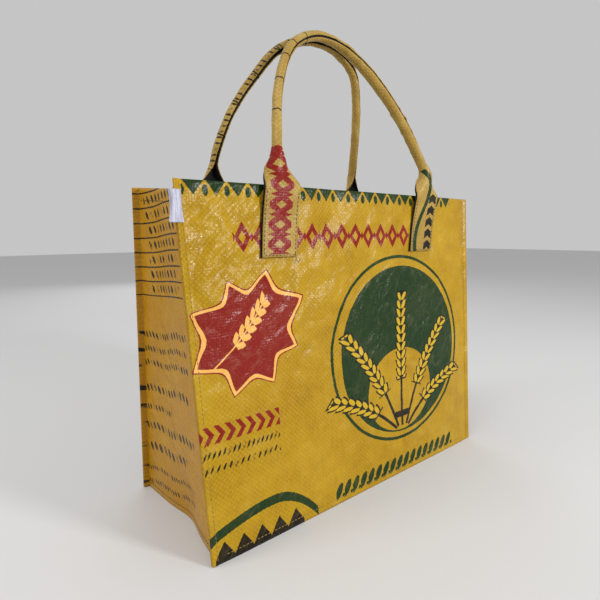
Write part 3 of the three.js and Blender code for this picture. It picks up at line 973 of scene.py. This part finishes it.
def gussetGrid(side, folds, seed):
    level = np.linspace(0, bag["height"], gusset["rows"] + 1)[:, None]
    place = np.linspace(0, 1, gusset["columns"] + 1)[None, :]
    dropping = gusset["rimDrop"] * ease(level, gusset["rimDropStart"], bag["height"])
    z = level - dropping * (1 - place)
    seam = seamAt(z)
    y = mix(seam["frontY"], seam["backY"], place)
    # each side has its own crumples
    relief = crumple(y + side * 300, z, gusset, seed) * ease(z, *bag["crumpleStart"])
    x = side * (seam["x"] - gussetInset(folds, place, z, relief))
    out = np.linspace(1, 0, bag["allowanceColumns"] + 1)[None, :-1]
    front, back = seamAt(z[:, :1]), seamAt(z[:, -1:])
    frontX = mix(side * front["x"], side * front["tipX"], out)
    frontY = mix(front["frontY"], front["frontTipY"], out)
    backX = mix(side * back["x"], side * back["tipX"], out)[:, ::-1]
    backY = mix(back["backY"], back["backTipY"], out)[:, ::-1]
    tips = np.concatenate([out, 0 * place, out[:, ::-1]], axis=1)
    x = np.concatenate([frontX, x, backX], axis=1)
    y = np.concatenate([frontY, y, backY], axis=1)
    z = np.concatenate([z[:, :1] + 0 * out, z, z[:, -1:] + 0 * out], axis=1)
    z = np.maximum(z, bag["cornerLift"] * tips**2)
    return np.stack([x, y, z], axis=2), sideVectors(x, y, -side)


for name, node, side, folds, seed, cloth in (
    ("gussetLeft", "gusset_left", -1, leftFolds, 71, leftGussetCloth),
    ("gussetRight", "gusset_right", 1, rightFolds, 91, rightGussetCloth),
):
    grid, sides = gussetGrid(side, folds, seed)
    piece = clothMesh(name, grid, sides, near, far, grid[..., [1, 2]], [cloth, insideCloth])
    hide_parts(node)
    ends = bag["allowanceColumns"] + 2
    columns = np.arange(ends, grid.shape[1] - ends)
    runs = [
        runAlong(grid, sides, far, level / bag["height"] * gusset["rows"], columns)
        for level in (bag["baseSeamHeight"], bag["height"] - gusset["rimSeam"])
    ]
    seams = stitchMesh(name + "Stitches", runs, darkThread)
print("gussets")

base = {
    "riseWidth": 26.0,
    "riseEase": 1.5,
    "edgeGap": 0.26,
    "thickness": 1.2,
    "columns": 150,
    "rows": 60,
}


def baseGrid():
    z = bag["baseSeamHeight"] + base["thickness"]
    seam = seamAt(z)
    place = np.linspace(0, 1, base["rows"] + 1)[:, None]
    share = np.linspace(-1, 1, base["columns"] + 1)[None, :]
    leftX = -(seam["x"] - gussetInset(leftFolds, place, z, 0)) + base["edgeGap"]
    rightX = seam["x"] - gussetInset(rightFolds, place, z, 0) - base["edgeGap"]
    x = mix(leftX, rightX, (share + 1) / 2)
    wallX = seam["x"] * share
    frontY = panelY(-1, wallX, z, creaseRelief(frontCreases, wallX, z)) + base["edgeGap"]
    backY = panelY(1, wallX, z, creaseRelief(backCreases, wallX, z)) - base["edgeGap"]
    y = mix(frontY, backY, place)
    inFromEdge = np.minimum.reduce([x - leftX, rightX - x, y - frontY, backY - y])
    rise = 1 - ease(inFromEdge, 0, base["riseWidth"])
    height = bag["baseSeamHeight"] * rise ** base["riseEase"]
    up = np.zeros((*x.shape, 3))
    up[..., 2] = 1
    return np.stack([x, y, height], axis=2), up


grid, up = baseGrid()
basePiece = clothMesh("basePanel", grid, up, 0, base["thickness"], grid[..., [0, 1]],
                      [insideCloth, baseCloth])
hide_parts("base_panel")
print("base")

# Both handles: webbing with a cloth over it, flat at the tabs and rolled to a grip
band = {
    "tabWidth": 42.0,
    "gripWidth": 29.0,
    "segments": 26,
    "clothThickness": 1.0,
    "webbingThickness": 1.0,
    "webbingOverhang": 0.022,
    "layerGap": 0.7,
    "tabGap": 0.44,
    "tabFoot": 280.0,
    "tabLevels": (280.0, 292.0, 304.0, 320.0, 336.0, 350.0),
    "tabStandOff": 4.5,
    "tabSewnHeight": 306.0,
    "flatTurn": 0.02,
    "step": 2.2,
    "reliefShare": 0.8,
    "inwardRelief": -0.35,  # the gap to the webbing leaves no more room
    "seamRows": (0.8, 30),  # rows of the grid that the threads up a tab run over
    "seamInset": 1.2,  # columns from the edge
    "footInset": 0.9,
}

frontHandle = {
    "side": -1,
    "tabRimX": (-111.0, 121.0),
    "slot": 2.2,
    "seamDip": -0.2,
    "roll": (351.0, 387.0),
    # height, left x, right x, y
    "legs": [
        (375, -116, 119.5, -65.5),
        (405, -109.6, 110, -55.5),
        (440, -99.5, 96.6, -43.5),
        (475, -83.1, 75, -31),
        (505, -60.5, 48, -19.6),
        (524.5, -28, 18, -10.6),
    ],
    "apex": (-5, -8, 529.2),
    # height, where the seam faces on the left and the right leg (degrees from +Y towards +X)
    "seamTurn": [
        (368, 0, 0),
        (386, 58, 80),
        (405, 114, 138),
        (425, 138, 154),
        (455, 146, 158),
        (529, 152, 152),
    ],
    # place along the handle, thickness of the roll
    "girth": [(0, 0.96), (0.36, 0.94), (0.5, 1.08), (0.62, 1.32), (0.74, 1.28), (0.81, 1.1), (1, 1.14)],
    "wrinkles": (0.48, 0.84, 2.1),  # from, to, height
    "crumpled": (0.64, 230),  # middle of the creased stretch, its half length
}
backHandle = {
    "side": 1,
    "tabRimX": (-129.0, 92.0),
    "slot": 5.6,
    "seamDip": -0.2,
    "roll": (349.0, 382.0),
    "legs": [
        (375, -128.5, 91.5, 43.5),
        (405, -123.5, 88.5, 35.8),
        (440, -110.4, 83.5, 27.4),
        (475, -88.2, 75.5, 18.6),
        (506, -62.5, 60, 10.2),
        (523, -31, 28, 5),
    ],
    "apex": (-5, 3.6, 527.5),
    "seamTurn": [(354, 180, 180), (370, 178, 165), (386, 166, 150), (405, 154, 140), (455, 148, 138)],
    "girth": [(0, 0.8), (0.3, 0.8), (0.44, 0.9), (0.6, 0.98), (0.72, 1.02), (1, 0.94)],
    "wrinkles": (0.46, 0.74, 1.3),
    "crumpled": (0.55, 260),
}


def handleRoute(handle):
    # control points of a handle's middle line, from its left tab over the top to its right tab
    side = handle["side"]
    folds = frontFolds if side < 0 else backFolds
    face = bag["seamGap"] + bag["solidThickness"]
    reach = band["tabGap"] + band["webbingThickness"] + band["layerGap"] + band["clothThickness"] / 2

    def tab(end):
        points = []
        for z in band["tabLevels"]:
            share = (z - band["tabFoot"]) / (bag["height"] - band["tabFoot"])
            x = mix(tabFeet[side][end], handle["tabRimX"][end], share)
            lift = band["tabStandOff"] * float(ease(z, band["tabSewnHeight"], bag["height"] + 10))
            relief = creaseRelief(folds, np.array(x), np.array(z))
            y = float(panelY(side, x, z, relief)) + side * (face + reach + lift)
            points.append((x, y, z))
        return points

    left = [(row[1], row[3], row[0]) for row in handle["legs"]]
    right = [(row[2], row[3], row[0]) for row in handle["legs"]]
    points = tab(0) + left + [handle["apex"]] + right[::-1] + tab(1)[::-1]
    return np.array(points, float)


def smoothRoute(points, step):
    # centripetal curve through the points, then even steps along it
    before, after = 2 * points[0] - points[1], 2 * points[-1] - points[-2]
    control = np.vstack([before, points, after])
    samples = []
    for k in range(1, len(control) - 2):
        p = control[k - 1:k + 3]
        knots = np.concatenate([[0], np.cumsum(np.sqrt(np.linalg.norm(np.diff(p, axis=0), axis=1)))])
        t = np.linspace(knots[1], knots[2], 60, endpoint=False)[:, None]

        def blend(a, b, first, last):
            return ((knots[last] - t) * a + (t - knots[first]) * b) / (knots[last] - knots[first])

        a, b, c = (blend(p[n], p[n + 1], n, n + 1) for n in range(3))
        samples.append(blend(blend(a, b, 0, 2), blend(b, c, 1, 3), 1, 2))
    samples = np.vstack(samples + [points[-1:]])
    distance = distances(samples)
    places = np.linspace(0, distance[-1], int(distance[-1] / step) + 1)
    return pointsAlong(places, distance, samples), places


def handleGrid(handle, overhang):
    route, places = smoothRoute(handleRoute(handle), band["step"])
    share = places / places[-1]
    tangent = unit(np.gradient(route, axis=0))
    z = route[:, 2]
    upright = np.zeros_like(tangent)
    upright[:, 2] = np.where(share < 0.5, 1, -1)
    low, high = handle["roll"]
    tangent = unit(mix(tangent, upright, (1 - ease(z, bag["height"], high))[:, None]))
    roll = np.clip((z - low) / (high - low), 0, 1)
    fullTurn = 2 * math.pi * band["gripWidth"] / (band["gripWidth"] + handle["slot"])
    turn = np.maximum(band["flatTurn"], fullTurn * roll)
    width = mix(band["tabWidth"], band["gripWidth"] * readTable(handle["girth"], share, 1), roll)
    facing = np.where(share < 0.5, readTable(handle["seamTurn"], z, 1), readTable(handle["seamTurn"], z, 2))
    facing = np.radians(facing)
    toSeam = np.stack([np.sin(facing), np.cos(facing), handle["seamDip"] * roll], axis=1)
    toSeam = unit(toSeam - tangent * (toSeam * tangent).sum(axis=1, keepdims=True))
    across = np.cross(tangent, toSeam)
    part = np.linspace(-0.5, 0.5, band["segments"] + 1)
    part[0], part[-1] = part[0] - overhang, part[-1] + overhang
    radius = (width / turn)[:, None]
    lift = radius * (np.sin(turn / 2) / (turn / 2))[:, None]
    angle = part[None, :] * turn[:, None]
    flatX, flatY = radius * np.sin(angle), lift - radius * np.cos(angle)
    middle = route[:, None] + across[:, None] * flatX[..., None] + toSeam[:, None] * flatY[..., None]
    flatSides = sideVectors(flatX, flatY, 1)
    sides = across[:, None] * flatSides[..., :1] + toSeam[:, None] * flatSides[..., 1:2]
    uv = np.stack([places[:, None] + 0 * flatX, part[None, :] * width[:, None]], axis=2)
    return middle, sides, uv, share, roll


def handleRelief(handle, uv, share, roll, seed):
    # small crinkles along the roll, and ripples where it bends
    along, across = uv[..., 0], uv[..., 1]
    crinkles = softNoise(along, across * 1.6, 11, seed) * 0.35
    crinkles = crinkles + dents(along, across * 1.5, 13, seed + 3) * 0.5 - 0.15
    start, end, height = handle["wrinkles"]
    bent = ease(share, start, start + 0.06) * (1 - ease(share, end - 0.08, end))
    slanted = dents(along * 1.2 + across * 0.8, across * 0.7 - along * 0.2, 11, seed + 1)
    where = 0.5 + 0.5 * softNoise(along, across * 2, 18, seed + 2)
    relief = crinkles + height * bent[:, None] * (1.6 * slanted - 0.5) * where
    return np.maximum(relief * roll[:, None], band["inwardRelief"]) * band["reliefShare"]


for name, node, handle, prints, seed in (
    ("handleFront", "handle_front", frontHandle, frontHandlePrints, 131),
    ("handleBack", "handle_back", backHandle, backHandlePrints, 151),
):
    middle, sides, uv, share, roll = handleGrid(handle, 0)
    length = uv[-1, 0, 0]
    crumpledPlace, crumpledReach = handle["crumpled"]
    cloth = sackCloth(name + "Cloth", handleTones, prints(length), 0.34,
                      (length * crumpledPlace, 0, crumpledReach, 60))
    relief = handleRelief(handle, uv, share, roll, seed)
    half = band["clothThickness"] / 2
    piece = clothMesh(name + "Cloth", middle - sides * relief[..., None], sides, half, -half, uv,
                      [cloth, insideCloth])
    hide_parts(node + "_cloth")
    length * mm
    0.031 * length * mm
    webMiddle, webSides, webUv = handleGrid(handle, band["webbingOverhang"])[:3]
    nearWeb = half + band["layerGap"]
    web = clothMesh(name + "Webbing", webMiddle, webSides, nearWeb, nearWeb + band["webbingThickness"],
                    webUv, [webbingCloth, webbingCloth])
    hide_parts(node + "_webbing")
    length * mm
    0.029 * length * mm
    if node == "handle_front":
        frontTab = (middle, sides)
    # threads up both edges of each tab and across its foot
    rows = np.arange(*band["seamRows"], 0.5)
    last, lastRow = middle.shape[1] - 1, middle.shape[0] - 1
    edges = (band["seamInset"], last - band["seamInset"])
    columns = np.arange(band["seamInset"], last - 1, 0.5)
    runs = []
    for tabRows, foot in ((rows, band["footInset"]), (lastRow - rows, lastRow - band["footInset"])):
        runs += [runAlong(middle, sides, -half, tabRows, edge) for edge in edges]
        runs.append(runAlong(middle, sides, -half, foot, columns))
    tabs = stitchMesh(name + "Stitches", [(places, -normals) for places, normals in runs], darkThread)
    print(name, "length", round(float(length), 1), "mm")

# Loose end of thread at the left tab's lower corner
looseThread = {
    "corner": (0, 1),
    "outward": 0.3,
    "line": [
        (0, 0, 4),
        (-0.4, -0.3, 1),
        (0.3, -0.8, -3),
        (2.6, -0.9, -5.6),
        (4.4, -0.6, -4.0),
        (4.0, -0.8, -1.6),
    ],
    "step": 0.4,
    "stitch": dict(stitch, pitch=1.1, length=1.5, radius=0.28),
}
face, _ = outerFace(*frontTab, -band["clothThickness"] / 2 - looseThread["outward"])
route, _ = smoothRoute(face[looseThread["corner"]] + np.array(looseThread["line"]), looseThread["step"])
facing = np.tile([0.0, -1.0, 0.0], (len(route), 1))
loose = stitchMesh("looseThread", [(route, facing)], darkThread, looseThread["stitch"])

label = {
    "thickness": 0.6,
    "nominalThickness": 1.0,
    "gap": 0.4,
    "flatWidth": 26,
    # height, cover of the cloth, reach past the edge, bulge
    "levels": [
        (313, 6.5, 7.2, 3.2),
        (320, 6.0, 5.6, 2.6),
        (328, 5.6, 4.6, 2.3),
        (335, 5.8, 4.8, 2.4),
        (341, 6.0, 5.2, 2.5),
    ],
    "rows": 30,
    "columns": 40,
}


def labelGrid():
    heights = np.linspace(label["levels"][0][0], label["levels"][-1][0], label["rows"] + 1)
    clearance = bag["seamGap"] + bag["solidThickness"] + label["gap"] + label["nominalThickness"] / 2
    gridX, gridY = [], []
    for z in heights:
        cover, reach, bulge = (float(readTable(label["levels"], z, k)) for k in (1, 2, 3))
        seam = seamAt(z)
        tip = np.array([-seam["tipX"], seam["frontTipY"]])
        out = unit(tip - np.array([-seam["x"], seam["frontY"]]))
        forward = np.array([-out[1], out[0]])
        # from the front of the cloth round its edge to the back, then smoothed
        local = np.array([
            (-cover, clearance),
            (0, clearance),
            (reach * 0.6, bulge),
            (reach, bulge * 0.45),
            (reach, -bulge * 0.45),
            (reach * 0.6, -bulge),
            (0, -clearance),
            (-cover * 0.85, -clearance),
        ])
        distance = distances(local)
        line = pointsAlong(np.linspace(0, distance[-1], label["columns"] + 1), distance, local)
        for _ in range(3):
            line[1:-1] = (line[:-2] + 2 * line[1:-1] + line[2:]) / 4
        flat = tip + line[:, :1] * out + line[:, 1:] * forward
        gridX.append(flat[:, 0])
        gridY.append(flat[:, 1])
    x, y = np.array(gridX), np.array(gridY)
    z = heights[:, None] + 0 * x
    uv = np.stack([np.linspace(0, label["flatWidth"], label["columns"] + 1)[None, :] + 0 * x, z], axis=2)
    return np.stack([x, y, z], axis=2), sideVectors(x, y, 1), uv


grid, sides, uv = labelGrid()
half = label["thickness"] / 2
labelPiece = clothMesh("sideLabel", grid, sides, -half, half, uv, [satin, satin])
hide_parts("side_label")
print("label")

camera = {
    "place": (-383.57, -432.79, 302.18),
    "yaw": 38.683,  # degrees from +Y towards +X
    "pitch": -8.229,
    "roll": -0.435,
    "lens": 27.244,
    "sensor": 36.0,
}

studio = {
    "floorSize": 16000.0,
    "floorColour": (0.64, 0.64, 0.64),
    "worldColour": (1.0, 1.0, 1.0),
    "worldStrength": 0.56,
    # name, place, size, watts, aimed at
    "lights": [
        ("keyLight", (700, -1800, 800), 320, 26.0, (-60, -60, 230)),
        ("topLight", (-600, -300, 1900), 900, 9.0, (0, 0, 250)),
        ("backLight", (900, 2000, 1100), 1500, 8.0, (0, 0, 200)),
        ("sideLight", (-1900, 500, 1000), 600, 10.0, (-200, 0, 200)),
    ],
}


def aim(thing, target):
    direction = Vector(target) * mm - thing.location
    thing.rotation_euler = direction.to_track_quat("-Z", "Y").to_euler()


def makeCamera():
    data = bpy.data.cameras.new("photoCamera")
    data.lens = camera["lens"]
    data.sensor_width = camera["sensor"]
    data.clip_start = 0.01
    eye = bpy.data.objects.new("photoCamera", data)
    bpy.context.scene.collection.objects.link(eye)
    yaw, pitch, roll = (math.radians(camera[k]) for k in ("yaw", "pitch", "roll"))
    forward = Vector((math.sin(yaw) * math.cos(pitch), math.cos(yaw) * math.cos(pitch), math.sin(pitch)))
    level = Vector((math.cos(yaw), -math.sin(yaw), 0))
    above = level.cross(forward)
    right = level * math.cos(roll) + above * math.sin(roll)
    up = above * math.cos(roll) - level * math.sin(roll)
    turn = Matrix((right, up, -forward)).transposed().to_4x4()
    eye.matrix_world = Matrix.Translation(Vector(camera["place"]) * mm) @ turn
    bpy.context.scene.camera = eye


def makeStudio():
    bpy.ops.object.select_all(action="DESELECT")
    bpy.ops.mesh.primitive_plane_add(size=studio["floorSize"] * mm, location=(0, 0, 0))
    floor = bpy.context.object
    floor.name = "studioFloor"
    material, _, shader = newMaterial("palePaper")
    shader.inputs["Base Color"].default_value = (*studio["floorColour"], 1)
    shader.inputs["Roughness"].default_value = 0.9
    floor.data.materials.append(material)
    world = bpy.data.worlds.new("studioWorld")
    world.use_nodes = True
    background = world.node_tree.nodes["Background"]
    background.inputs["Color"].default_value = (*studio["worldColour"], 1)
    background.inputs["Strength"].default_value = studio["worldStrength"]
    bpy.context.scene.world = world
    # the default transform would grey the ochre and the inks
    bpy.context.scene.view_settings.view_transform = "Standard"
    for name, place, size, watts, target in studio["lights"]:
        data = bpy.data.lights.new(name, "AREA")
        data.size = size * mm
        data.energy = watts
        lamp = bpy.data.objects.new(name, data)
        bpy.context.scene.collection.objects.link(lamp)
        lamp.location = Vector(place) * mm
        aim(lamp, target)


makeCamera()
makeStudio()
print("camera and studio")
